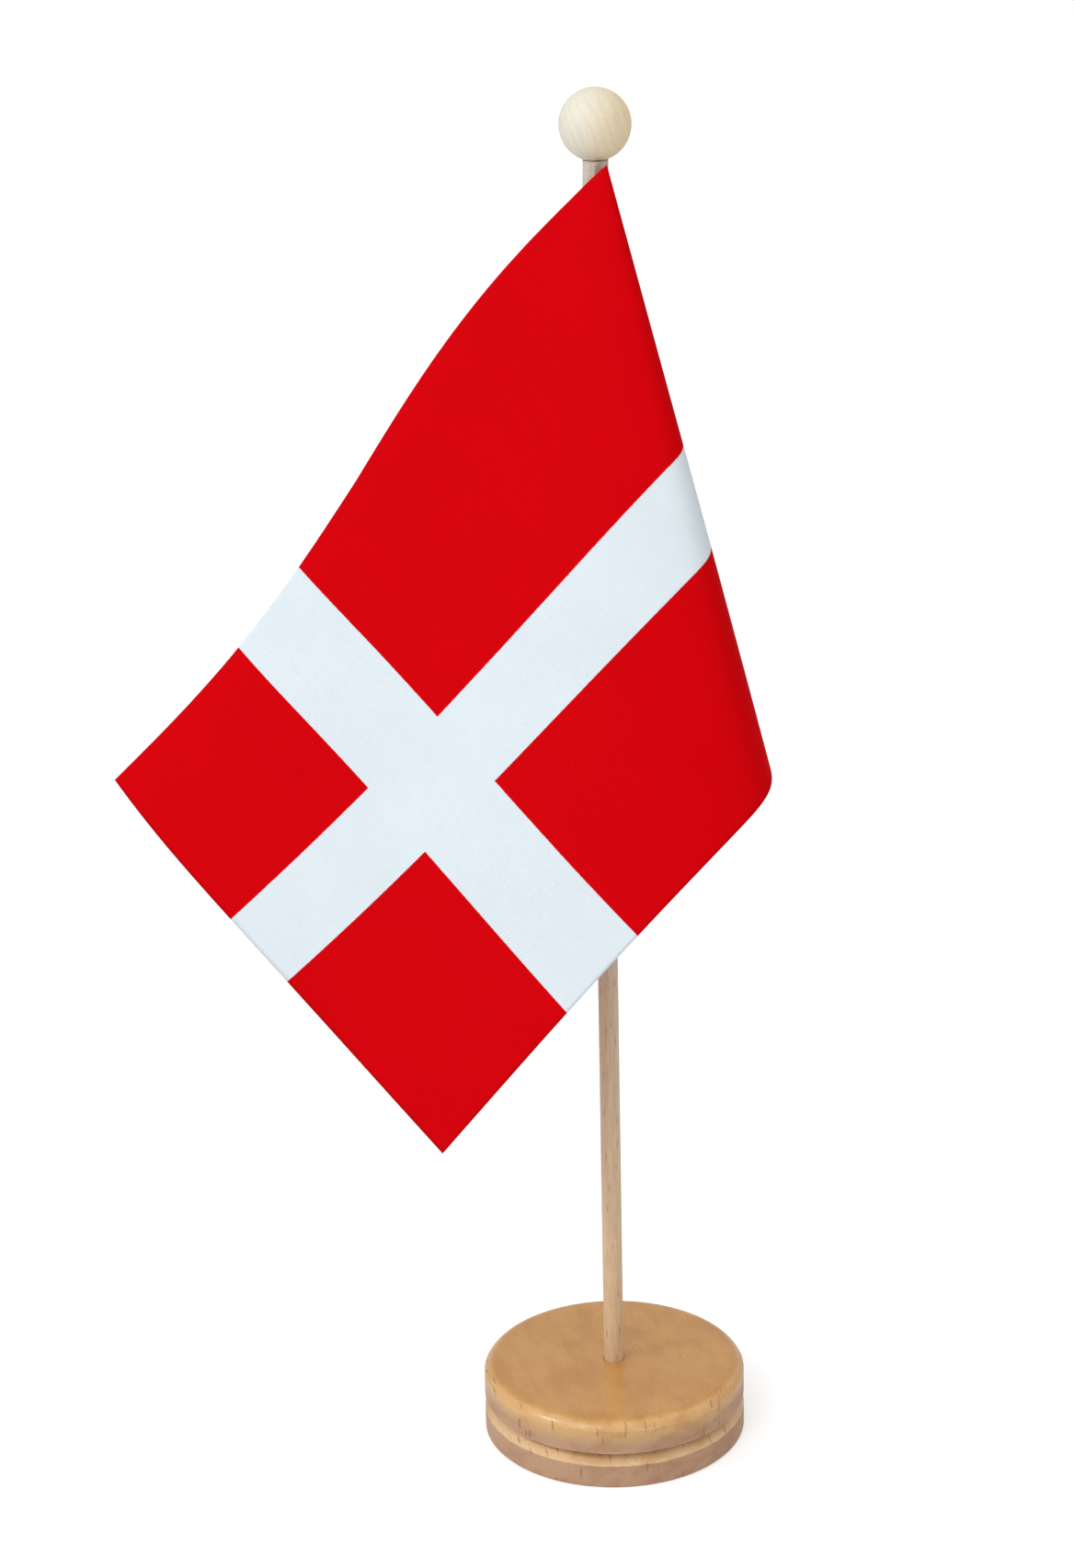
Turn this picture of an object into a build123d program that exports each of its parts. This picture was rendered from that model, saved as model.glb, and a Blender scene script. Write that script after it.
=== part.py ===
from build123d import *
import itertools
import math
import os

# A desk flag stand. A round hardwood base carries a push-fit dowel with a ball on top.
# A small flag hangs from a sewn sleeve round the top of the dowel.
# Millimetres. +Z is up, the origin is the centre of the base's underside, and the dowel
# stands on the Z axis. -Y is the front, which shows the printed face of the flag.

SAME_POINT = 1e-5       # points nearer than this are one point

# Base
BASE_D = 80.0
BASE_T = 22.0
SHOULDER_W = 4.2        # the rounded shoulder round the top face, across
SHOULDER_H = 2.8        # and down
GROOVE_Z = 9.6          # height of the bottom of the V groove
GROOVE_H = 4.2
GROOVE_DEPTH = 3.0
LIP_ROUND = 0.35        # sanded edges of the groove and the side
FOOT_BREAK = 0.6        # the broken edge that the base stands on
MOUTH_BREAK = 0.25      # and the one round the socket
SOCKET_DEPTH = 16.0

# Dowel and ball
DOWEL_D = 6.0
DOWEL_CHAMFER = 0.5
PUSH_GAP = 0.04         # radial gap of the dowel in the base's socket
BALL_D = 20.0
BALL_Z = 399.6          # height of the ball's centre
BALL_BORE_DEPTH = 9.0
GLUE_GAP = 0.02         # radial gap of the dowel in the ball

# Flag, as it was cut
FLY = 246.0             # length away from its sewn edge
HOIST = 150.0           # height along the dowel
CLOTH_T = 0.6
TOP_WAVE = 2.9          # the top edge rises and dips by this much along its length
FLY_BOW = 1.5           # the free edge bulges by this much at its middle

# Sleeve
SLEEVE_D = 7.8
SLEEVE_GAP = 0.08       # radial gap of the sleeve on the dowel
SLEEVE_TOP = BALL_Z - 9.9
LAP = (-2.7, 1.0)       # the sleeve's flat lap under the flag's edge, along the flag
LAP_T = 0.5
SEAM_GAP = 0.04

# Stitches that hold the flag to the sleeve
STITCH_PITCH = 3.0
STITCH_L = 2.2
STITCH_D = 0.3
STITCH_INSET = 1.1      # from the flag's edge
STITCH_MARGIN = 3.0     # from the sleeve's ends

# How the flag hangs. Cloth bends along straight creases that all run from one point
# just above the top of its sewn edge, so it is a cone. A crease is named by the angle
# that it makes with the sewn edge in the flat cloth.
APEX_RISE = 12.0
SEWN_EDGE = (-0.35, -5.05)  # where the sewn edge stands beside the dowel
SEWN_TOP = BALL_Z - 9.8
LEAVES_AT = 27.0            # heading of the cloth as it leaves the dowel, from +X
# Each bend is the turn, the crease it is centred on and its half width, in degrees.
# A turn is positive when it is clockwise from above.
BENDS = [
    (112.0, 12.85, 6.5),    # round to the front
    (91.4, 32.1, 4.85),     # the fold at the right
    (28.0, 40.0, 17.0),     # running out into the front
    (-4.3, 68.0, 12.0),     # and two slight waves across it
    (10.8, 84.0, 10.0),
]
LAST_CREASE = 96.0          # just past the top edge's highest part
CREASES = 400               # steps in following the bends
STRIPS_BOTTOM = 38          # flat strips that reach the bottom edge
STRIPS_FLY = 16             # and the free edge
SETTLING_STEPS = 30         # to find where a crease meets the waved top edge


def bend_rate(crease):
    """Turn per unit of crease angle at one crease, in radians."""
    total = 0.0
    for turn, centre, half in BENDS:
        off = (crease - math.radians(centre)) / math.radians(half)
        if abs(off) < 1:
            total += math.radians(turn) * (1 + math.cos(math.pi * off)) / (2 * math.radians(half))
    return total


def crease_directions():
    """The direction of each crease from straight down to past the top edge."""
    step = math.radians(LAST_CREASE) / CREASES
    along = Vector(0, 0, -1)
    across = Vector(math.cos(math.radians(LEAVES_AT)), math.sin(math.radians(LEAVES_AT)), 0)
    found = [along]
    for i in range(CREASES):
        turn = bend_rate((i + 0.5) * step) * step
        side = along.cross(across)
        across = across * math.cos(turn) + side * math.sin(turn)
        old = along
        along = old * math.cos(step) + across * math.sin(step)
        across = across * math.cos(step) - old * math.sin(step)
        found.append(along)
    return found, step


DIRECTIONS, STEP = crease_directions()


def crease_direction(crease):
    """The direction of any crease, between the nearest two that were worked out."""
    place = crease / STEP
    i = min(int(place), CREASES - 1)
    share = place - i
    return (DIRECTIONS[i] * (1 - share) + DIRECTIONS[i + 1] * share).normalized()


def hung(x, y):
    """Where a point of the flat cloth hangs: x along the fly, y down from the top edge."""
    down = y + APEX_RISE
    apex = Vector(SEWN_EDGE[0], SEWN_EDGE[1], SEWN_TOP + APEX_RISE)
    return apex + crease_direction(math.atan2(x, down)) * math.hypot(x, down)


def top_edge(x):
    """How far down the top edge lies at x along the fly: it rises, then dips."""
    return -TOP_WAVE * math.sin(2 * math.pi * x / FLY)


def crease_through(x):
    """The crease that crosses the top edge at x."""
    return math.atan2(x, top_edge(x) + APEX_RISE)


def crease_ends(x):
    """Where the crease through x ends on the top edge, and on the bottom or free edge."""
    slope = x / (top_edge(x) + APEX_RISE)
    if slope * (HOIST + APEX_RISE) <= FLY:
        return (x, top_edge(x)), (slope * (HOIST + APEX_RISE), HOIST)
    y = FLY / slope - APEX_RISE
    bow = FLY_BOW * math.sin(math.pi * y / HOIST)
    return (x, top_edge(x)), (FLY + bow, y)


def crease_starts():
    """Places on the top edge for the creases between the flat strips of the cloth."""
    corner = math.atan2(FLY, HOIST + APEX_RISE)
    places = []
    for i in range(STRIPS_BOTTOM + 1):
        crease = corner * i / STRIPS_BOTTOM
        x = 0.0
        for _ in range(SETTLING_STEPS):
            x = math.tan(crease) * (top_edge(x) + APEX_RISE)
        places.append(x)
    first = places[-1]
    grow = (FLY / first) ** (1 / STRIPS_FLY)
    return places + [first * grow ** i for i in range(1, STRIPS_FLY + 1)]


def is_at(vertex, point):
    return (Vector(vertex) - point).length < SAME_POINT


def base():
    """The turned base with its V groove, rounded shoulder and blind socket."""
    r = BASE_D / 2
    shoulder_z = BASE_T - SHOULDER_H
    top_r = r - SHOULDER_W
    bore_r = DOWEL_D / 2 + PUSH_GAP
    floor_z = BASE_T - SOCKET_DEPTH
    lips = [
        Vector(r, 0, GROOVE_Z - GROOVE_H / 2),
        Vector(r, 0, GROOVE_Z + GROOVE_H / 2),
        Vector(r, 0, shoulder_z),
    ]
    side = Polyline(
        (bore_r + MOUTH_BREAK, 0, BASE_T),
        (bore_r, 0, BASE_T - MOUTH_BREAK),
        (bore_r, 0, floor_z),
        (0, 0, floor_z),
        (0, 0, 0),
        (r - FOOT_BREAK, 0, 0),
        (r, 0, FOOT_BREAK),
        lips[0],
        (r - GROOVE_DEPTH, 0, GROOVE_Z),
        lips[1],
        lips[2],
    )
    # An arc that runs smoothly into the top face.
    round_r = (SHOULDER_W ** 2 + SHOULDER_H ** 2) / (2 * SHOULDER_H)
    half_way = (math.pi / 2 + math.acos(SHOULDER_W / round_r)) / 2
    shoulder = ThreePointArc(
        lips[2],
        (
            top_r + round_r * math.cos(half_way),
            0,
            BASE_T - round_r + round_r * math.sin(half_way),
        ),
        (top_r, 0, BASE_T),
    )
    face = Line((top_r, 0, BASE_T), (bore_r + MOUTH_BREAK, 0, BASE_T))
    turning = make_face(side + shoulder + face)
    worn = [v for v in turning.vertices() if any(is_at(v, lip) for lip in lips)]
    return revolve(fillet(worn, LIP_ROUND), Axis.Z)


def pole():
    """The dowel, from the bottom of the base's socket into the ball."""
    low = BASE_T - SOCKET_DEPTH
    high = BALL_Z - BALL_D / 2 + BALL_BORE_DEPTH
    rod = Pos(0, 0, low) * Cylinder(
        DOWEL_D / 2, high - low, align=(Align.CENTER, Align.CENTER, Align.MIN)
    )
    return chamfer(rod.edges().filter_by(GeomType.CIRCLE), DOWEL_CHAMFER)


def ball_finial():
    """The ball, drilled from below for the dowel."""
    bore = Pos(0, 0, BALL_Z - BALL_D) * Cylinder(
        DOWEL_D / 2 + GLUE_GAP,
        BALL_D / 2 + BALL_BORE_DEPTH,
        align=(Align.CENTER, Align.CENTER, Align.MIN),
    )
    return Pos(0, 0, BALL_Z) * Sphere(BALL_D / 2) - bore


def seam_frame(z):
    """A plane at the flag's sewn edge: x along the cloth, y towards the dowel."""
    heading = math.radians(LEAVES_AT)
    return Plane(
        origin=(SEWN_EDGE[0], SEWN_EDGE[1], z),
        x_dir=(math.cos(heading), math.sin(heading), 0),
        z_dir=(0, 0, 1),
    )


def hoist_sleeve():
    """The fabric tube round the dowel, with the lap that the flag is sewn to."""
    outer = SLEEVE_D / 2
    inner = DOWEL_D / 2 + SLEEVE_GAP
    tube = Cylinder(outer, HOIST) - Cylinder(inner, HOIST)
    tube = Pos(0, 0, SLEEVE_TOP - HOIST / 2) * tube
    # The cloth's line passes the dowel at this distance, nearest_at along the cloth.
    heading = math.radians(LEAVES_AT)
    nearest_at = -(SEWN_EDGE[0] * math.cos(heading) + SEWN_EDGE[1] * math.sin(heading))
    first = CLOTH_T / 2 + SEAM_GAP
    start, end = (nearest_at + s for s in LAP)
    lap = Pos((start + end) / 2, first + LAP_T / 2, 0) * Box(end - start, LAP_T, HOIST)
    lap = seam_frame(SLEEVE_TOP - HOIST / 2) * lap
    clear = Pos(0, 0, SLEEVE_TOP - HOIST / 2) * Cylinder(inner, HOIST + 2)
    return tube + (lap - clear)


def has_area(triangle):
    """Whether no two corners of a triangle are the same point."""
    return all((a - b).length > SAME_POINT for a, b in itertools.combinations(triangle, 2))


def skin(corners):
    """Triangles over four corners, of which two may be the same point."""
    p, q, r, s = corners
    return [Face(Wire.make_polygon(t)) for t in ((p, q, r), (p, r, s)) if has_area(t)]


def flag_cloth():
    """The hanging flag: flat strips between its creases, as one thin closed solid."""
    places = crease_starts()
    ends = [[hung(*point) for point in crease_ends(x)] for x in places]
    runs = [crease_direction(crease_through(x)) for x in places]
    facing = [a.cross(b).normalized() for a, b in zip(runs, runs[1:])]
    # At a crease the two strips' offsets meet on the line halfway between their normals.
    rows = []
    for i, (inner, outer) in enumerate(ends):
        near = facing[max(0, i - 1)]
        far = facing[min(i, len(facing) - 1)]
        middle = (near + far).normalized()
        reach = middle * (CLOTH_T / 2 / middle.dot(near))
        rows.append((inner + reach, outer + reach, outer - reach, inner - reach))
    faces = skin(rows[0])
    for this, after in zip(rows, rows[1:]):
        for k in range(4):
            m = (k + 1) % 4
            faces += skin((this[k], this[m], after[m], after[k]))
    return Solid(Shell(faces))


def sleeve_stitches():
    """The row of thread stitches through the flag's edge and the sleeve's lap."""
    lies = -(CLOTH_T / 2 + STITCH_D / 2)
    count = int((HOIST - 2 * STITCH_MARGIN) / STITCH_PITCH)
    first_z = SLEEVE_TOP - STITCH_MARGIN
    stitches = []
    for i in range(count):
        z = first_z - (i + 0.5) * STITCH_PITCH
        thread = Cylinder(STITCH_D / 2, STITCH_L)
        stitches.append(seam_frame(z) * Pos(STITCH_INSET, lies, 0) * thread)
    return Compound(children=stitches)


NODES = {
    "base": base,
    "pole": pole,
    "ball_finial": ball_finial,
    "hoist_sleeve": hoist_sleeve,
    "flag_cloth": flag_cloth,
    "sleeve_stitches": sleeve_stitches,
}

if __name__ == "__main__":
    os.makedirs("parts", exist_ok=True)
    for name, make in NODES.items():
        export_step(make(), f"parts/{name}.step")
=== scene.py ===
import math

import bpy
import numpy as np
from mathutils import Euler, Matrix, Vector


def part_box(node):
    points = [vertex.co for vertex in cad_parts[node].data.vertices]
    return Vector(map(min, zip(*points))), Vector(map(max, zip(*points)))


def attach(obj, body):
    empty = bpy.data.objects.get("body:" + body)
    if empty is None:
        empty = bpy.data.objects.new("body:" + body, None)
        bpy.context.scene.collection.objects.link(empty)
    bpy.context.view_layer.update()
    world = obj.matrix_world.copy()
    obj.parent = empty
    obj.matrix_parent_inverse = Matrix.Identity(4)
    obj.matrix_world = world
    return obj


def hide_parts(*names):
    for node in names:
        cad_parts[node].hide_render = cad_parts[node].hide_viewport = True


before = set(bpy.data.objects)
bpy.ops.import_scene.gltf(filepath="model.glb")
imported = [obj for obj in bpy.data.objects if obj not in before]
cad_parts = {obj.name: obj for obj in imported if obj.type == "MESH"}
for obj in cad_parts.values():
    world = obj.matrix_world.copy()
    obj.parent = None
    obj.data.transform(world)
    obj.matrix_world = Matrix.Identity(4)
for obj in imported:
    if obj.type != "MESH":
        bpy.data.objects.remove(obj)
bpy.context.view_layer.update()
MM = 0.001

# The flag stand's own frame: Z up the dowel, -Y the front, origin under the base.
BASE_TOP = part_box("base")[1].z
BALL_LOW, BALL_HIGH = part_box("ball_finial")
SLEEVE_LOW, SLEEVE_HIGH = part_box("hoist_sleeve")
BALL_R = (BALL_HIGH.x - BALL_LOW.x) / 2
BALL_Z = BALL_HIGH.z - BALL_R

# The base's turned profile, in millimetres up from its underside.
STEP_LIP, UPPER_LIP, SHOULDER_FOOT = 7.5, 11.7, 19.2

# The flag as it was cut: its edges bow and dip a little, and its top corner is tucked down.
FLY = 246.3 * MM
HOIST = SLEEVE_HIGH.z - SLEEVE_LOW.z
CLOTH_T = 0.26 * MM
TOP_RISE = 5.4 * MM
TOP_DIP = 4.2 * MM
TIP_RISE = 0.5 * MM
BOTTOM_RISE = 1.0 * MM
FLY_BOW = 1.9 * MM
CORNER_TUCK = 4.2 * MM
CORNER_RUN = 6 * MM
FLAG_GRID = (260, 140)

# How it hangs: every crease runs from a point above the sewn edge.
APEX_RISE = 12 * MM
SEWN_EDGE = (-0.35 * MM, -5.05 * MM)
SEWN_TOP = BALL_Z - 9.8 * MM
LEAVES_AT = math.radians(27.0)
# Turn, crease and half width of each bend, in degrees; clockwise from above is positive.
BENDS = [
    (112.0, 12.85, 6.5),
    (91.4, 32.1, 4.85),
    (28.0, 40.0, 17.0),
    (-4.3, 68.0, 12.0),
    (10.8, 84.0, 10.0),
]
CREASES = 1200
LAST_CREASE = math.radians(97.0)
WAVE_HEIGHT = 0.3 * MM
WAVE_START, WAVE_RUN = 30 * MM, 60 * MM

# The printed cross, in millimetres of flat cloth from the sewn edge and the top edge.
UPRIGHT = (154.5, 185.9)
ARM = (64.0, 89.3)
SKEW_AT_EDGE, SKEW_AT_FLY, SKEW_POWER = 3.4, 11.75, 2.4
FLAG_THREAD, TAPE_THREAD = 0.34, 0.42

# The sleeve's tape, in the seam's own frame: x along the flag, y towards the dowel.
ALONG_SEAM = Vector((math.cos(LEAVES_AT), math.sin(LEAVES_AT), 0))
TO_DOWEL = Vector((-math.sin(LEAVES_AT), math.cos(LEAVES_AT), 0))
TAPE_T = 0.26 * MM
TAPE_R = 3.45 * MM
TAPE_LAYERS = (0.32 * MM, 0.62 * MM)
TAPE_FIN = (-0.1 * MM, 1.5 * MM)
TAPE_RISE = 0.35 * MM
TAPE_ROWS = 170
TAPE_TURNS = 56
FIN_STEPS = 4
RUMPLE_SLOW, RUMPLE_SMALL = 0.11, 0.05

# The row of stitches.
STITCH_PITCH = 3 * MM
STITCH_L = 2.3 * MM
THREAD_D = 0.3 * MM
STITCH_INSET = 1.1 * MM
STITCH_MARGIN = 3 * MM


# ---------------------------------------------------------------- mesh helpers
def shade_smooth(piece):
    """Rounds off how every face of a piece is shaded."""
    piece.data.polygons.foreach_set("use_smooth", [True] * len(piece.data.polygons))


def apply_modifiers(piece):
    """Turns what the modifiers make into the piece's own mesh."""
    shown = piece.evaluated_get(bpy.context.evaluated_depsgraph_get())
    mesh = bpy.data.meshes.new_from_object(shown)
    piece.modifiers.clear()
    piece.data = mesh


def new_piece(name, mesh):
    """An object at the origin that holds the mesh."""
    piece = bpy.data.objects.new(name, mesh)
    bpy.context.collection.objects.link(piece)
    return piece


def grid_mesh(name, points):
    """A mesh over a grid of points, and for each face corner its place in the grid."""
    columns, rows = points.shape[:2]
    index = np.arange(columns * rows).reshape(columns, rows)
    quads = np.stack([index[:-1, :-1], index[1:, :-1], index[1:, 1:], index[:-1, 1:]], axis=-1)
    mesh = bpy.data.meshes.new(name)
    mesh.from_pydata(points.reshape(-1, 3).tolist(), [], quads.reshape(-1, 4).tolist())
    corners = np.zeros(len(mesh.loops), np.int32)
    mesh.loops.foreach_get("vertex_index", corners)
    return mesh, corners


def lay_uv(mesh, corners, name, u, v):
    """Keeps flat cloth coordinates, in millimetres, as a UV map."""
    layer = mesh.uv_layers.new(name=name)
    uv = np.stack([u.reshape(-1)[corners], v.reshape(-1)[corners]], axis=-1) / MM
    layer.data.foreach_set("uv", uv.reshape(-1).astype(np.float32))


def thicken(piece, thickness, back=0, rim=0):
    """Gives a sheet its thickness; back and rim are the material slots they move on by."""
    solid = piece.modifiers.new("thickness", "SOLIDIFY")
    solid.thickness = thickness
    solid.offset = 0
    solid.material_offset = back
    solid.material_offset_rim = rim
    apply_modifiers(piece)


# ---------------------------------------------------------------- the hanging flag
def bend_rate(crease):
    """Turn per radian of crease angle."""
    total = 0.0
    for turn, centre, half in BENDS:
        off = (crease - math.radians(centre)) / math.radians(half)
        if abs(off) < 1:
            total += math.radians(turn) * (1 + math.cos(math.pi * off)) / (2 * math.radians(half))
    return total


def crease_directions():
    """Unit vectors down each crease from the point that all creases run from."""
    step = LAST_CREASE / CREASES
    along = Vector((0, 0, -1))
    across = ALONG_SEAM.copy()
    found = [along[:]]
    for i in range(CREASES):
        turn = bend_rate((i + 0.5) * step) * step
        side = along.cross(across)
        across = across * math.cos(turn) + side * math.sin(turn)
        old = along.copy()
        along = old * math.cos(step) + across * math.sin(step)
        across = across * math.cos(step) - old * math.sin(step)
        found.append(along[:])
    return np.array(found)


DIRECTIONS = crease_directions()


def hung(x, y):
    """Where points of the flat cloth hang: x along the fly, y down from the top edge."""
    down = y + APEX_RISE
    crease = np.arctan2(x, down) / LAST_CREASE * CREASES
    steps = np.arange(CREASES + 1)
    way = np.stack([np.interp(crease, steps, DIRECTIONS[:, k]) for k in range(3)], axis=-1)
    way /= np.linalg.norm(way, axis=-1, keepdims=True)
    apex = np.array([SEWN_EDGE[0], SEWN_EDGE[1], SEWN_TOP + APEX_RISE])
    return apex + way * np.hypot(x, down)[..., None]


def flat_cloth(columns, rows):
    """A grid of flat cloth coordinates inside the cut's outline, closer at the sewn edge."""
    u, v = np.meshgrid(np.linspace(0, 1, columns) ** 2, np.linspace(0, 1, rows), indexing="ij")
    wave = np.sin(2 * np.pi * u)
    top = -np.where(wave > 0, TOP_RISE, TOP_DIP) * wave - TIP_RISE * u ** 2
    top += CORNER_TUCK * np.clip(1 - u * FLY / CORNER_RUN, 0, 1) ** 1.5
    bottom = HOIST - BOTTOM_RISE * np.sin(np.pi * u)
    x = u * (FLY + FLY_BOW * np.sin(np.pi * v))
    y = top + v * (bottom - top)
    return x, y


def soft_waves(x, y):
    """How far the limp cloth stands off its main shape, growing away from the dowel."""
    crease = np.arctan2(x, y + APEX_RISE)
    reach = np.clip(np.hypot(x, y + APEX_RISE) / HOIST, 0, 1.6)
    away = np.clip((x - WAVE_START) / WAVE_RUN, 0, 1)
    return WAVE_HEIGHT * away * reach * np.sin(9.0 * crease + 2.2 * reach)


def print_skew(x):
    """The print runs slightly off the cut's square, more so near the free edge."""
    return (SKEW_AT_EDGE - SKEW_AT_FLY * (x / FLY) ** SKEW_POWER) * MM


def printed_flag():
    """The printed flag: one thin closed sheet on the main cone with slight waves in it."""
    x, y = flat_cloth(*FLAG_GRID)
    middle = hung(x, y)
    normal = np.cross(np.gradient(middle, axis=1), np.gradient(middle, axis=0))
    normal /= np.linalg.norm(normal, axis=-1, keepdims=True)
    middle = middle + normal * soft_waves(x, y)[..., None]
    mesh, corners = grid_mesh("printed_flag", middle)
    lay_uv(mesh, corners, "print", x, y - print_skew(x))
    piece = new_piece("printed_flag", mesh)
    shade_smooth(piece)
    face, back, edge = flag_materials()
    for finish in (face, back, edge):
        mesh.materials.append(finish)
    thicken(piece, CLOTH_T, back=1, rim=2)
    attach(piece, "flag")
    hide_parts("flag_cloth")
    return piece


# ---------------------------------------------------------------- the sleeve
def dowel_in_seam():
    """The dowel's axis in the seam's frame."""
    out = -Vector((*SEWN_EDGE, 0))
    return Vector((out.dot(ALONG_SEAM), out.dot(TO_DOWEL)))


def touch_angle(point, side):
    """The angle on the tape's circle where a straight run from a point just touches it."""
    away = point - dowel_in_seam()
    return math.atan2(away.y, away.x) + side * math.acos(TAPE_R / away.length)


def tape_line():
    """The tape's path: out along the fin, round the dowel, and back along the fin."""
    centre = dowel_in_seam()
    out_end = Vector((TAPE_FIN[1], TAPE_LAYERS[0]))
    back_end = Vector((TAPE_FIN[1], TAPE_LAYERS[1]))
    first = touch_angle(out_end, 1)
    last = touch_angle(back_end, -1) + 2 * math.pi
    shares = [i / FIN_STEPS for i in range(FIN_STEPS + 1)]
    path = [Vector((TAPE_FIN[0], TAPE_LAYERS[0])).lerp(out_end, share) for share in shares]
    for i in range(TAPE_TURNS + 1):
        angle = first + (last - first) * i / TAPE_TURNS
        path.append(centre + TAPE_R * Vector((math.cos(angle), math.sin(angle))))
    path += [back_end.lerp(Vector((TAPE_FIN[0], TAPE_LAYERS[1])), share) for share in shares]
    return path


def tape_rumple(angle, z):
    """How far the loose tape stands out from its circle."""
    slow = np.sin(210 * z + 1.3 * np.sin(angle)) * np.cos(angle + 18 * z)
    small = np.sin(520 * z + 2 * angle + 1.1) * np.sin(3 * angle + 60 * z)
    return (RUMPLE_SLOW * slow + RUMPLE_SMALL * small) * MM


def fabric_sleeve():
    """The woven tape sewn into a sleeve for the dowel, slightly rumpled."""
    path = np.array([p[:] for p in tape_line()])
    heights = np.linspace(SLEEVE_HIGH.z + TAPE_RISE, SLEEVE_LOW.z, TAPE_ROWS)
    across, z = np.meshgrid(np.arange(len(path)), heights, indexing="ij")
    centre = np.array(dowel_in_seam()[:])
    spot = path[across]
    off = spot - centre
    reach = np.linalg.norm(off, axis=-1)
    on_circle = np.clip(1 - (reach - TAPE_R) / (0.5 * MM), 0, 1)
    stand_off = tape_rumple(np.arctan2(off[..., 1], off[..., 0]), z) * on_circle
    spot = spot + off / reach[..., None] * stand_off[..., None]
    points = (np.array([SEWN_EDGE[0], SEWN_EDGE[1], 0])
              + spot[..., :1] * np.array(ALONG_SEAM) + spot[..., 1:] * np.array(TO_DOWEL))
    points[..., 2] = z
    mesh, corners = grid_mesh("fabric_sleeve", points)
    steps = np.linalg.norm(np.diff(path, axis=0), axis=1)
    length = np.concatenate([[0], np.cumsum(steps)])
    lay_uv(mesh, corners, "tape", length[across], z)
    piece = new_piece("fabric_sleeve", mesh)
    shade_smooth(piece)
    mesh.materials.append(tape_material())
    thicken(piece, TAPE_T)
    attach(piece, "flag")
    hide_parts("hoist_sleeve")
    return piece


# ---------------------------------------------------------------- the stitches
def stitch_row_tree():
    """Stitches along a line, on both faces of the seam: bowed threads that dip at their ends."""
    tree = bpy.data.node_groups.new("stitch_row", "GeometryNodeTree")
    takes = {
        "Count": ("Int", 10),
        "Pitch": ("Float", 3 * MM),
        "Length": ("Float", 2 * MM),
        "Bow": ("Float", 0.2 * MM),
        "Thread": ("Float", 0.15 * MM),
        "First": ("Vector", (0, 0, 0)),
        "Through": ("Vector", (0, 0, 0)),
        "Heading": ("Float", 0.0),
        "Slant": ("Float", 0.05),
        "Seed": ("Int", 5),
        "Material": ("Material", None),
    }
    identifiers = {}
    for label, (kind, value) in takes.items():
        socket = tree.interface.new_socket(label, in_out="INPUT", socket_type=f"NodeSocket{kind}")
        if value is not None:
            socket.default_value = value
        identifiers[label] = socket.identifier
    tree.interface.new_socket("Geometry", in_out="OUTPUT", socket_type="NodeSocketGeometry")
    w = Wiring(tree)
    given = w.add("NodeGroupInput").outputs
    half = w.math("MULTIPLY", given["Length"], 0.5)
    low = w.math("MULTIPLY", half, -1.0)
    start = w.add("ShaderNodeCombineXYZ", {"Z": low}).outputs[0]
    end = w.add("ShaderNodeCombineXYZ", {"Z": half}).outputs[0]
    bowed = w.add("ShaderNodeCombineXYZ", {"Y": w.math("MULTIPLY", given["Bow"], -2.0)}).outputs[0]
    thread = w.add(
        "GeometryNodeCurveQuadraticBezier",
        {"Resolution": 8, "Start": start, "Middle": bowed, "End": end},
    )
    ring = w.add("GeometryNodeCurvePrimitiveCircle", {"Resolution": 7, "Radius": given["Thread"]})
    stitch = w.add(
        "GeometryNodeCurveToMesh",
        {"Curve": thread.outputs[0], "Profile Curve": ring.outputs[0], "Fill Caps": True},
    ).outputs[0]
    down = w.add("ShaderNodeCombineXYZ", {"Z": w.math("MULTIPLY", given["Pitch"], -1.0)}).outputs[0]
    rows = []
    for side, first in ((0.0, given["First"]), (math.pi, None)):
        if first is None:
            ends = {0: given["First"], 1: given["Through"]}
            first = w.add("ShaderNodeVectorMath", ends).outputs[0]
        line = w.add(
            "GeometryNodeMeshLine",
            {"Count": given["Count"], "Start Location": first, "Offset": down},
            mode="OFFSET",
        ).outputs[0]
        lean = w.add(
            "FunctionNodeRandomValue",
            {2: w.math("MULTIPLY", given["Slant"], -1.0), 3: given["Slant"], "Seed": given["Seed"]},
            data_type="FLOAT",
        ).outputs[1]
        turn = w.add(
            "ShaderNodeCombineXYZ", {"X": lean, "Z": w.math("ADD", given["Heading"], side)}
        ).outputs[0]
        rows.append(w.add(
            "GeometryNodeInstanceOnPoints", {"Points": line, "Instance": stitch, "Rotation": turn}
        ).outputs[0])
    joined = w.add("GeometryNodeJoinGeometry")
    for row in rows:
        tree.links.new(row, joined.inputs[0])
    real = w.add("GeometryNodeRealizeInstances", {0: joined.outputs[0]}).outputs[0]
    smooth = w.add("GeometryNodeSetShadeSmooth", {0: real}).outputs[0]
    done = w.add("GeometryNodeSetMaterial", {0: smooth, "Material": given["Material"]}).outputs[0]
    w.add("NodeGroupOutput", {0: done})
    return tree, identifiers


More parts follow.
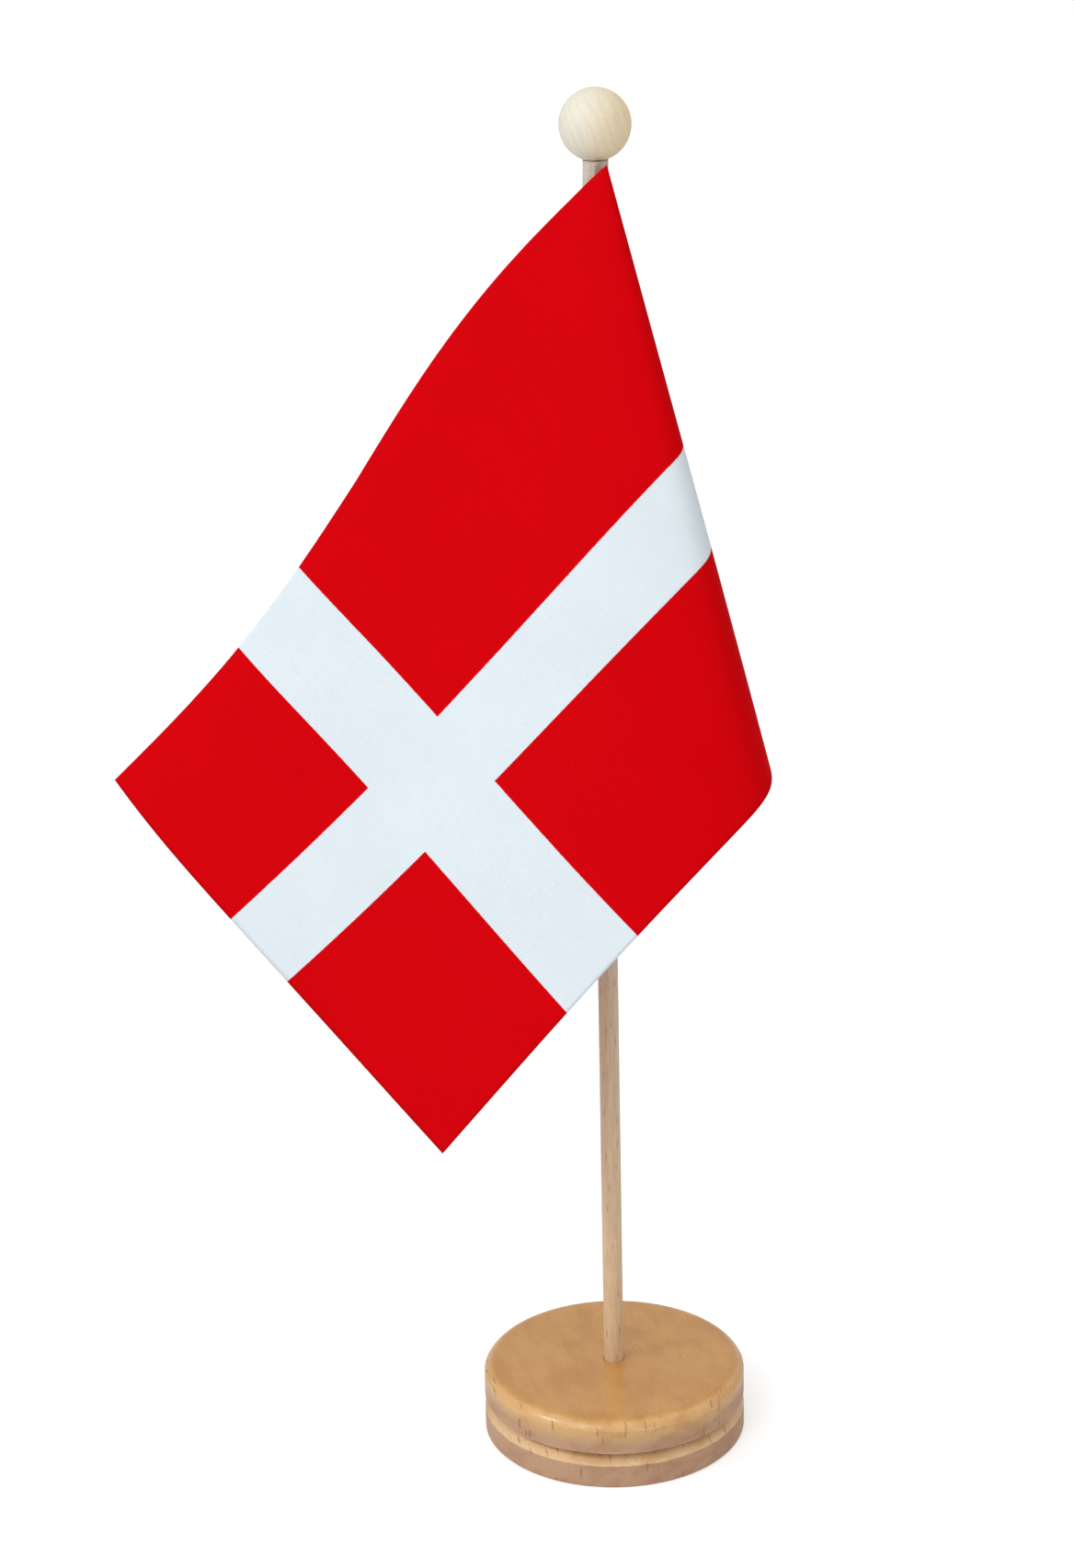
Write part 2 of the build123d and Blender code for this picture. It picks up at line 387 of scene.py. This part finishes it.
def seam_stitches():
    """The stitches through the flag's edge and the sleeve's two layers."""
    face = -(CLOTH_T / 2 + THREAD_D * 0.1)
    far = TAPE_LAYERS[1] + TAPE_T / 2 + THREAD_D * 0.1
    first = Vector((*SEWN_EDGE, SLEEVE_HIGH.z - STITCH_MARGIN - STITCH_PITCH / 2))
    first = first + ALONG_SEAM * STITCH_INSET + TO_DOWEL * face
    values = {
        "Count": int((HOIST - 2 * STITCH_MARGIN) / STITCH_PITCH),
        "Pitch": STITCH_PITCH,
        "Length": STITCH_L,
        "Bow": THREAD_D * 0.4,
        "Thread": THREAD_D / 2,
        "First": first,
        "Through": TO_DOWEL * (far - face),
        "Heading": LEAVES_AT,
        "Slant": 0.07,
        "Seed": 5,
        "Material": thread_material(),
    }
    piece = new_piece("seam_stitches", bpy.data.meshes.new("seam_stitches"))
    tree, identifiers = stitch_row_tree()
    row = piece.modifiers.new("stitches", "NODES")
    row.node_group = tree
    for label, value in values.items():
        row[identifiers[label]] = value
    apply_modifiers(piece)
    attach(piece, "flag")
    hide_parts("sleeve_stitches")
    return piece


# ---------------------------------------------------------------- node wiring
class Wiring:
    """Puts nodes into one node tree and joins them."""

    def __init__(self, tree):
        self.tree = tree

    def add(self, kind, inputs=None, **settings):
        made = self.tree.nodes.new(kind)
        for name, value in settings.items():
            setattr(made, name, value)
        for key, value in (inputs or {}).items():
            self.feed(made.inputs[key], value)
        return made

    def feed(self, socket, value):
        if isinstance(value, bpy.types.NodeSocket):
            self.tree.links.new(value, socket)
        else:
            socket.default_value = value

    def math(self, operation, a, b=0.0, c=0.0):
        return self.add("ShaderNodeMath", {0: a, 1: b, 2: c}, operation=operation).outputs[0]

    def ranged(self, value, low, high, to_low=0.0, to_high=1.0):
        """A value moved smoothly from one range to another, and held at its ends."""
        inputs = {"Value": value, "From Min": low, "From Max": high}
        inputs.update({"To Min": to_low, "To Max": to_high})
        return self.add("ShaderNodeMapRange", inputs, interpolation_type="SMOOTHSTEP").outputs[0]

    def blend(self, share, a, b, kind="MIX"):
        mix = self.add("ShaderNodeMix", {0: share, 6: a, 7: b}, data_type="RGBA", blend_type=kind)
        return mix.outputs[2]

    def stretched(self, place, lengths):
        """Coordinates in which a pattern is that long each way, in millimetres."""
        shares = tuple(1 / length for length in lengths)
        inputs = {0: place, 1: shares}
        return self.add("ShaderNodeVectorMath", inputs, operation="MULTIPLY").outputs[0]

    def noise(self, place, lengths, detail=2.0, rough=0.5):
        """Soft noise whose patches are about that long each way, in millimetres."""
        inputs = {"Vector": self.stretched(place, lengths), "Scale": 1.0}
        inputs.update({"Detail": detail, "Roughness": rough})
        return self.add("ShaderNodeTexNoise", inputs).outputs[0]

    def object_place(self):
        """Object coordinates in millimetres."""
        place = self.add("ShaderNodeTexCoord").outputs["Object"]
        return self.stretched(place, (MM, MM, MM))

    def bump(self, height, distance):
        inputs = {"Height": height, "Distance": distance, "Strength": 1.0}
        return self.add("ShaderNodeBump", inputs).outputs[0]


def start_group(name, takes, gives):
    """A shader node group with named sockets: its wiring and what comes into it."""
    tree = bpy.data.node_groups.new(name, "ShaderNodeTree")
    for label, (kind, value) in takes.items():
        socket = tree.interface.new_socket(label, in_out="INPUT", socket_type=f"NodeSocket{kind}")
        socket.default_value = value
    for label, kind in gives.items():
        tree.interface.new_socket(label, in_out="OUTPUT", socket_type=f"NodeSocket{kind}")
    w = Wiring(tree)
    return w, w.add("NodeGroupInput").outputs


def material(name):
    """A new material with one shader: its wiring and the shader's inputs."""
    made = bpy.data.materials.new(name)
    made.use_nodes = True
    made.node_tree.nodes.clear()
    w = Wiring(made.node_tree)
    shader = w.add("ShaderNodeBsdfPrincipled")
    w.add("ShaderNodeOutputMaterial", {"Surface": shader.outputs["BSDF"]})
    return made, w, shader.inputs


def colour(red, green, blue):
    return (red, green, blue, 1)


# ---------------------------------------------------------------- shared effects
def wood_figure():
    """Beech figure, its grain along Y: growth rings, ray flecks, fine fibre and soft clouds."""
    w, given = start_group(
        "wood_figure",
        {
            "Place": ("Vector", (0, 0, 0)),
            "Heart": ("Vector", (0, 0, 0)),
            "Ring Width": ("Float", 3.0),
        },
        {"Rings": "Float", "Flecks": "Float", "Fibre": "Float", "Clouds": "Float"},
    )
    place = given["Place"]
    clouds = w.noise(place, (16, 40, 16))
    drift = w.noise(place, (9, 60, 9), detail=1.0)
    ends = {0: place, 1: given["Heart"]}
    out = w.add("ShaderNodeVectorMath", ends, operation="SUBTRACT").outputs[0]
    parts = w.add("ShaderNodeSeparateXYZ", {0: out}).outputs
    square = w.math("ADD", w.math("POWER", parts["X"], 2.0), w.math("POWER", parts["Z"], 2.0))
    radius = w.math("MULTIPLY_ADD", drift, 5.0, w.math("SQRT", square))
    turn = w.math("MULTIPLY", w.math("DIVIDE", radius, given["Ring Width"]), 2 * math.pi)
    rings = w.math("MULTIPLY_ADD", w.math("SINE", turn), 0.5, 0.5)
    rings = w.math("POWER", rings, 2.2)
    cells = w.add(
        "ShaderNodeTexVoronoi",
        {"Vector": w.stretched(place, (1.5, 10.0, 12.5)), "Scale": 1.0, "Randomness": 1.0},
    ).outputs["Distance"]
    flecks = w.ranged(cells, 0.10, 0.22, 1.0, 0.0)
    fibre = w.noise(place, (0.4, 9.0, 0.4), detail=3.0, rough=0.6)
    w.add("NodeGroupOutput", {0: rings, 1: flecks, 2: fibre, 3: clouds})
    return w.tree


def plain_weave():
    """Plain weave: each crossing stands up, long one way and then the other."""
    w, given = start_group(
        "plain_weave",
        {"Place": ("Vector", (0, 0, 0)), "Thread Pitch": ("Float", 0.3)},
        {"Height": "Float", "Shade": "Float"},
    )
    parts = w.add("ShaderNodeSeparateXYZ", {0: given["Place"]}).outputs
    waves = []
    for side in ("X", "Y"):
        turn = w.math("DIVIDE", parts[side], given["Thread Pitch"])
        waves.append(w.math("SINE", w.math("MULTIPLY", turn, math.pi)))
    over = w.math("GREATER_THAN", w.math("MULTIPLY", waves[0], waves[1]), 0.0)
    warp, weft = (w.math("ABSOLUTE", wave) for wave in waves)
    long_warp = w.math("MULTIPLY", w.math("SQRT", warp), weft)
    long_weft = w.math("MULTIPLY", warp, w.math("SQRT", weft))
    lift = w.math("SUBTRACT", long_warp, long_weft)
    height = w.math("MULTIPLY_ADD", lift, over, long_weft)
    uneven = w.noise(given["Place"], (0.9, 14, 1), detail=1.0)
    uneven = w.math("ADD", uneven, w.noise(given["Place"], (14, 0.9, 1), detail=1.0))
    # The shade is painted shade, darker where the weave lies low between the threads, plus random
    # unevenness of the yarn.
    shade = w.math("MULTIPLY_ADD", uneven, 0.35, w.math("MULTIPLY", height, 0.65))
    w.add("NodeGroupOutput", {0: height, 1: shade})
    return w.tree


def printed_cross():
    """Where the cross is left white: an upright and an arm, with a hair of ink bleed."""
    w, given = start_group(
        "printed_cross",
        {
            "Place": ("Vector", (0, 0, 0)),
            "Upright From": ("Float", UPRIGHT[0]),
            "Upright To": ("Float", UPRIGHT[1]),
            "Arm From": ("Float", ARM[0]),
            "Arm To": ("Float", ARM[1]),
            "Bleed": ("Float", 0.12),
        },
        {"Cross": "Float"},
    )
    feather = w.math("MULTIPLY_ADD", w.noise(given["Place"], (0.6, 0.6, 1)), 0.3, -0.15)
    parts = w.add("ShaderNodeSeparateXYZ", {0: given["Place"]}).outputs
    bands = []
    for side, bar in (("X", "Upright"), ("Y", "Arm")):
        place = w.math("ADD", parts[side], feather)
        rise, fall = (
            w.ranged(
                place,
                w.math("SUBTRACT", given[f"{bar} {end}"], given["Bleed"]),
                w.math("ADD", given[f"{bar} {end}"], given["Bleed"]),
            )
            for end in ("From", "To")
        )
        bands.append(w.math("SUBTRACT", rise, fall))
    w.add("NodeGroupOutput", {0: w.math("MAXIMUM", *bands)})
    return w.tree


def cut_fray():
    """Loose fibre ends: a ragged mask that comes and goes along a cut edge."""
    w, given = start_group("cut_fray", {"Place": ("Vector", (0, 0, 0))}, {"Fray": "Float"})
    w.add("NodeGroupOutput", {0: w.ranged(w.noise(given["Place"], (0.5, 0.5, 0.5)), 0.4, 0.7)})
    return w.tree


GROUPS = {}


def group(make):
    """Each shared effect is built once."""
    if make not in GROUPS:
        GROUPS[make] = make()
    return GROUPS[make]


# ---------------------------------------------------------------- cloth finishes
def print_on_cloth(name, red, white, relief, rough):
    """Printed polyester: the cross, the weave and slight unevenness of the dye."""
    made, w, shader = material(name)
    place = w.add("ShaderNodeUVMap", uv_map="print").outputs[0]
    cross = w.add("ShaderNodeGroup", {"Place": place}, node_tree=group(printed_cross)).outputs[0]
    weave = w.add(
        "ShaderNodeGroup",
        {"Place": place, "Thread Pitch": FLAG_THREAD},
        node_tree=group(plain_weave),
    ).outputs
    dye = w.noise(place, (26, 34, 1), detail=3.0)
    ink = w.blend(cross, colour(*red), colour(*white))
    # The weave's painted shade between the threads darkens the print a little.
    shade = w.math("MULTIPLY_ADD", weave["Shade"], 0.10, 0.93)
    shade = w.math("MULTIPLY", shade, w.ranged(dye, 0.3, 0.7, 0.985, 1.015))
    w.feed(shader["Base Color"], w.blend(1.0, ink, shade, "MULTIPLY"))
    w.feed(shader["Roughness"], w.ranged(weave["Height"], 0.0, 1.0, rough + 0.08, rough - 0.05))
    w.feed(shader["Normal"], w.bump(weave["Height"], relief))
    w.feed(shader["Specular IOR Level"], 0.03)
    return made


def flag_materials():
    """The printed face, the paler back that the ink soaks through to, and the cut edge."""
    face = print_on_cloth(
        "flag_face", (0.585, 0.0, 0.0025), (0.675, 0.745, 0.785), relief=0.025 * MM, rough=0.78
    )
    back = print_on_cloth(
        "flag_back", (0.58, 0.006, 0.012), (0.69, 0.755, 0.79), relief=0.03 * MM, rough=0.82
    )
    edge, w, shader = material("flag_cut_edge")
    place = w.add("ShaderNodeUVMap", uv_map="print").outputs[0]
    cross = w.add("ShaderNodeGroup", {"Place": place}, node_tree=group(printed_cross)).outputs[0]
    fray = w.add("ShaderNodeGroup", {"Place": place}, node_tree=group(cut_fray)).outputs[0]
    sealed = w.blend(cross, colour(0.48, 0.0, 0.004), colour(0.66, 0.76, 0.80))
    w.feed(shader["Base Color"], w.blend(fray, sealed, colour(0.66, 0.30, 0.30)))
    w.feed(shader["Roughness"], w.ranged(fray, 0.0, 1.0, 0.45, 0.8))
    w.feed(shader["Normal"], w.bump(fray, 0.03 * MM))
    return face, back, edge


def tape_material():
    """Unbleached cotton tape, a coarser weave than the flag, with random grubby patches."""
    made, w, shader = material("sleeve_tape")
    place = w.add("ShaderNodeUVMap", uv_map="tape").outputs[0]
    weave = w.add(
        "ShaderNodeGroup",
        {"Place": place, "Thread Pitch": TAPE_THREAD},
        node_tree=group(plain_weave),
    ).outputs
    slubs = w.noise(place, (0.7, 22, 1), detail=2.0)
    handled = w.noise(place, (5, 30, 1), detail=3.0)
    low, high = colour(0.50, 0.43, 0.36), colour(0.66, 0.58, 0.50)
    # The tape is painted darker where its weave lies low between the threads: painted shade, with
    # the yarn's random unevenness.
    tone = w.blend(w.ranged(weave["Shade"], 0.1, 0.9), low, high)
    tone = w.blend(w.ranged(slubs, 0.55, 0.8, 0.0, 0.35), tone, colour(0.74, 0.68, 0.60))
    tone = w.blend(w.ranged(handled, 0.5, 0.8, 0.0, 0.3), tone, colour(0.46, 0.40, 0.33))
    w.feed(shader["Base Color"], tone)
    w.feed(shader["Roughness"], w.ranged(weave["Height"], 0.0, 1.0, 0.95, 0.82))
    w.feed(shader["Normal"], w.bump(weave["Height"], 0.08 * MM))
    w.feed(shader["Specular IOR Level"], 0.2)
    return made


def thread_material():
    """Twisted cream sewing thread, the grooves between its plies painted darker: painted shade."""
    made, w, shader = material("sewing_thread")
    place = w.object_place()
    turned = w.add("ShaderNodeMapping", {"Vector": place, "Rotation": (0.6, 0.3, 0.0)}).outputs[0]
    twist = {"Vector": turned, "Scale": 2.6, "Distortion": 0.4}
    plies = w.add("ShaderNodeTexWave", twist, bands_direction="Z").outputs["Fac"]
    w.feed(shader["Base Color"], w.blend(plies, colour(0.60, 0.56, 0.50), colour(0.86, 0.83, 0.77)))
    w.feed(shader["Roughness"], w.ranged(plies, 0.0, 1.0, 0.7, 0.5))
    w.feed(shader["Normal"], w.bump(plies, 0.04 * MM))
    return made


# ---------------------------------------------------------------- wood finishes
def along_grain(w, turn):
    """Object coordinates turned so that the wood's grain lies along Y."""
    place = w.object_place()
    return w.add("ShaderNodeMapping", {"Vector": place, "Rotation": turn}).outputs[0]


def height_up(w):
    """Height over the stand's foot, in millimetres."""
    return w.add("ShaderNodeSeparateXYZ", {0: w.object_place()}).outputs["Z"]


def figure(w, place, heart, ring_width):
    """The wood figure's masks, with the growth rings centred on the heart."""
    return w.add(
        "ShaderNodeGroup",
        {"Place": place, "Heart": heart, "Ring Width": ring_width},
        node_tree=group(wood_figure),
    ).outputs


def lacquered_base():
    """Honey-coloured lacquered beech: amber on the turned face, pinker on its sides, with painted
    light on the groove's step and, in part, on the shoulder and along the lips.
    """
    made, w, shader = material("lacquered_beech")
    place = along_grain(w, (0, 0, math.radians(-14)))
    wood = figure(w, place, (38, 0, -70), 4.6)
    height = height_up(w)
    drawn = w.noise(place, (10, 18, 7), detail=4.0, rough=0.55)
    patch = w.ranged(w.math("MULTIPLY_ADD", wood["Rings"], 0.08, drawn), 0.40, 0.70)
    top = w.blend(patch, colour(0.56, 0.282, 0.078), colour(0.49, 0.228, 0.054))
    # The shoulder's deeper amber is partly the lacquer's own colour and partly painted light,
    # lighter where the rounded shoulder catches the lamp.
    shoulder = w.blend(patch, colour(0.67, 0.39, 0.145), colour(0.58, 0.305, 0.10))
    side = w.blend(patch, colour(0.50, 0.30, 0.18), colour(0.43, 0.235, 0.135))
    # The step, the groove's lower slope, is painted lighter because it faces up into the light:
    # painted light.
    step = w.blend(patch, colour(0.76, 0.51, 0.28), colour(0.65, 0.40, 0.19))
    top_z = BASE_TOP / MM
    on_shoulder = w.ranged(height, top_z - 0.05, top_z - 0.9)
    on_side = w.ranged(height, top_z - 2.0, top_z - 9.0)
    lit_step = w.math(
        "MULTIPLY",
        w.ranged(height, STEP_LIP - 0.3, STEP_LIP + 0.2),
        w.ranged(height, STEP_LIP + 2.4, STEP_LIP + 1.9),
    )
    tone = w.blend(on_shoulder, top, shoulder)
    tone = w.blend(on_side, tone, side)
    tone = w.blend(lit_step, tone, step)
    tone = w.blend(1.0, tone, w.ranged(wood["Fibre"], 0.3, 0.7, 0.93, 1.05), "MULTIPLY")
    dark = w.math("MULTIPLY", wood["Flecks"], w.ranged(on_shoulder, 0.0, 1.0, 0.08, 0.5))
    tone = w.blend(dark, tone, colour(0.17, 0.07, 0.03))
    # Lighter patchy bands along the three lips: partly wear, partly painted highlight where the
    # rounded lips catch the light.
    wear_and_highlight_patches = w.noise(place, (3, 3, 1.2), detail=2.0)
    for lip in (STEP_LIP, UPPER_LIP, SHOULDER_FOOT):
        off = w.math("ABSOLUTE", w.math("SUBTRACT", height, lip))
        wear_and_lip_highlight = w.math("MULTIPLY", w.ranged(off, 0.15, 0.6, 0.4, 0.0), w.ranged(wear_and_highlight_patches, 0.4, 0.65))
        tone = w.blend(wear_and_lip_highlight, tone, colour(0.74, 0.52, 0.30))
    w.feed(shader["Base Color"], tone)
    rough = w.ranged(wood["Fibre"], 0.3, 0.7, 0.36, 0.5)
    w.feed(shader["Roughness"], w.math("ADD", rough, w.math("MULTIPLY", on_side, 0.1)))
    relief = w.math("SUBTRACT", w.math("MULTIPLY", wood["Fibre"], 0.35), wood["Flecks"])
    w.feed(shader["Normal"], w.bump(relief, 0.03 * MM))
    w.feed(shader["Coat Weight"], w.ranged(on_side, 0.0, 1.0, 0.6, 0.25))
    w.feed(shader["Coat Roughness"], 0.2)
    w.feed(shader["Specular IOR Level"], 0.3)
    return made


def satin_dowel():
    """Pale sealed beech dowel, its grain running up it."""
    made, w, shader = material("dowel_beech")
    place = along_grain(w, (math.radians(90), 0, 0))
    wood = figure(w, place, (16, 0, 9), 1.7)
    height = height_up(w)
    tone = w.blend(wood["Rings"], colour(0.63, 0.495, 0.36), colour(0.58, 0.43, 0.295))
    lower = w.math("MULTIPLY_ADD", wood["Clouds"], 60.0, w.math("MULTIPLY", height, -1.0))
    tone = w.blend(w.ranged(lower, -160, -20, 0.0, 0.8), tone, colour(0.67, 0.455, 0.255))
    tone = w.blend(1.0, tone, w.ranged(wood["Fibre"], 0.3, 0.7, 0.88, 1.08), "MULTIPLY")
    tone = w.blend(w.math("MULTIPLY", wood["Flecks"], 0.38), tone, colour(0.26, 0.14, 0.07))
    w.feed(shader["Base Color"], tone)
    w.feed(shader["Roughness"], w.ranged(wood["Fibre"], 0.3, 0.7, 0.42, 0.58))
    relief = w.math("SUBTRACT", w.math("MULTIPLY", wood["Fibre"], 0.6), wood["Flecks"])
    w.feed(shader["Normal"], w.bump(relief, 0.03 * MM))
    w.feed(shader["Coat Weight"], 0.25)
    w.feed(shader["Coat Roughness"], 0.3)
    return made


def turned_ball():
    """Pale, lightly waxed turned wood; its right side is painted warmer, standing in for warm light
    from the right.
    """
    made, w, shader = material("ball_wood")
    place = along_grain(w, (math.radians(90), 0, math.radians(20)))
    wood = figure(w, place, (24, 0, -6), 2.4)
    across = w.add("ShaderNodeSeparateXYZ", {0: w.object_place()}).outputs["X"]
    soft = w.math("MULTIPLY", wood["Rings"], 0.35)
    pale = w.blend(soft, colour(0.70, 0.665, 0.55), colour(0.64, 0.59, 0.465))
    # The warm tone towards the right side is painted warm light.
    warm_lit_tone = w.blend(soft, colour(0.82, 0.67, 0.43), colour(0.76, 0.58, 0.35))
    side = w.math("ADD", across, w.math("MULTIPLY", w.math("SUBTRACT", wood["Clouds"], 0.5), 14.0))
    tone = w.blend(w.ranged(side, -5.0, 7.0), pale, warm_lit_tone)
    tone = w.blend(1.0, tone, w.ranged(wood["Fibre"], 0.3, 0.7, 0.95, 1.04), "MULTIPLY")
    tone = w.blend(w.math("MULTIPLY", wood["Flecks"], 0.18), tone, colour(0.45, 0.33, 0.2))
    w.feed(shader["Base Color"], tone)
    w.feed(shader["Roughness"], w.ranged(wood["Fibre"], 0.3, 0.7, 0.5, 0.62))
    w.feed(shader["Normal"], w.bump(wood["Fibre"], 0.02 * MM))
    w.feed(shader["Coat Weight"], 0.12)
    w.feed(shader["Coat Roughness"], 0.35)
    return made


def dress(node, made):
    """Gives a carried-over CAD node its finish."""
    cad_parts[node].data.materials.clear()
    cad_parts[node].data.materials.append(made)


# ---------------------------------------------------------------- studio
CAMERA = {
    "side": -19.73 * MM,
    "back": 923.7 * MM,
    "height": 533.4 * MM,
    "pitch": 0.3367,
    "roll": 0.0225,
    "focal_share": 3668.7 / 1706.0,
}


def camera():
    """The camera, pitched down and rolled a little; its focal length is a share of its long side."""
    data = bpy.data.cameras.new("camera")
    data.sensor_width = 36.0
    data.lens = CAMERA["focal_share"] * data.sensor_width
    data.clip_start, data.clip_end = 0.05, 20
    eye = bpy.data.objects.new("camera", data)
    bpy.context.collection.objects.link(eye)
    eye.location = (CAMERA["side"], -CAMERA["back"], CAMERA["height"])
    turn = Euler((math.pi / 2 - CAMERA["pitch"], 0, 0)).to_matrix()
    eye.rotation_mode = "QUATERNION"
    eye.rotation_quaternion = (turn @ Matrix.Rotation(-CAMERA["roll"], 3, "Z")).to_quaternion()
    bpy.context.scene.camera = eye


def floor():
    """A pale floor that curves up into a backdrop."""
    half, front, back, rise, bend = 3.0, -2.0, 1.6, 2.6, 0.7
    bend_steps = 16
    profile = [(front, 0.0), (back - bend, 0.0)]
    profile += [
        (back - bend + bend * math.sin(a), bend - bend * math.cos(a))
        for a in (math.pi / 2 * i / bend_steps for i in range(1, bend_steps + 1))
    ]
    profile.append((back, rise))
    points = [(side, y, z) for y, z in profile for side in (-half, half)]
    faces = [(2 * i, 2 * i + 1, 2 * i + 3, 2 * i + 2) for i in range(len(profile) - 1)]
    mesh = bpy.data.meshes.new("floor")
    mesh.from_pydata(points, [], faces)
    ground = new_piece("floor", mesh)
    shade_smooth(ground)
    made, w, shader = material("pale_floor")
    seen = w.add("ShaderNodeLightPath").outputs["Is Camera Ray"]
    w.feed(shader["Base Color"], colour(0.74, 0.74, 0.74))
    w.feed(shader["Emission Color"], colour(1, 1, 1))
    w.feed(shader["Emission Strength"], w.math("MULTIPLY", seen, 0.42))
    w.feed(shader["Roughness"], 0.9)
    w.feed(shader["Specular IOR Level"], 0.1)
    mesh.materials.append(made)


LIGHTS_AIM = (0, 0, 0.2)


def light(name, place, size, power, tint=(1, 1, 1)):
    """A soft panel of light turned to the middle of the stand."""
    data = bpy.data.lights.new(name, "AREA")
    data.shape = "RECTANGLE"
    data.size, data.size_y = size
    data.energy = power
    data.color = tint
    lamp = bpy.data.objects.new(name, data)
    bpy.context.collection.objects.link(lamp)
    lamp.location = place
    way = Vector(LIGHTS_AIM) - Vector(place)
    lamp.rotation_mode = "QUATERNION"
    lamp.rotation_quaternion = way.to_track_quat("-Z", "Y")


def studio():
    """A pale sky that is brighter overhead, and two soft lights from the left and the front."""
    world = bpy.data.worlds.new("studio")
    world.use_nodes = True
    w = Wiring(world.node_tree)
    facing = w.add("ShaderNodeTexCoord").outputs["Generated"]
    rise = w.add("ShaderNodeSeparateXYZ", {0: facing}).outputs["Z"]
    sky = world.node_tree.nodes["Background"]
    w.feed(sky.inputs["Color"], colour(1, 1, 1))
    seen = w.add("ShaderNodeLightPath").outputs["Is Camera Ray"]
    w.feed(sky.inputs["Strength"], w.math("MAXIMUM", w.ranged(rise, 0.0, 1.0, 0.60, 1.0), seen))
    bpy.context.scene.world = world
    light("window", (-1.20, -0.50, 1.10), (0.36, 0.30), 6.0, (0.94, 0.98, 1.0))
    light("front", (-0.7, -1.3, 1.4), (0.9, 0.9), 8.0)
    bpy.context.scene.view_settings.view_transform = "Standard"


# ---------------------------------------------------------------- the stand
def main():
    camera()
    floor()
    studio()
    dress("base", lacquered_base())
    dress("pole", satin_dowel())
    dress("ball_finial", turned_ball())
    sleeve = fabric_sleeve()
    stitches = seam_stitches()
    flag = printed_flag()


main()
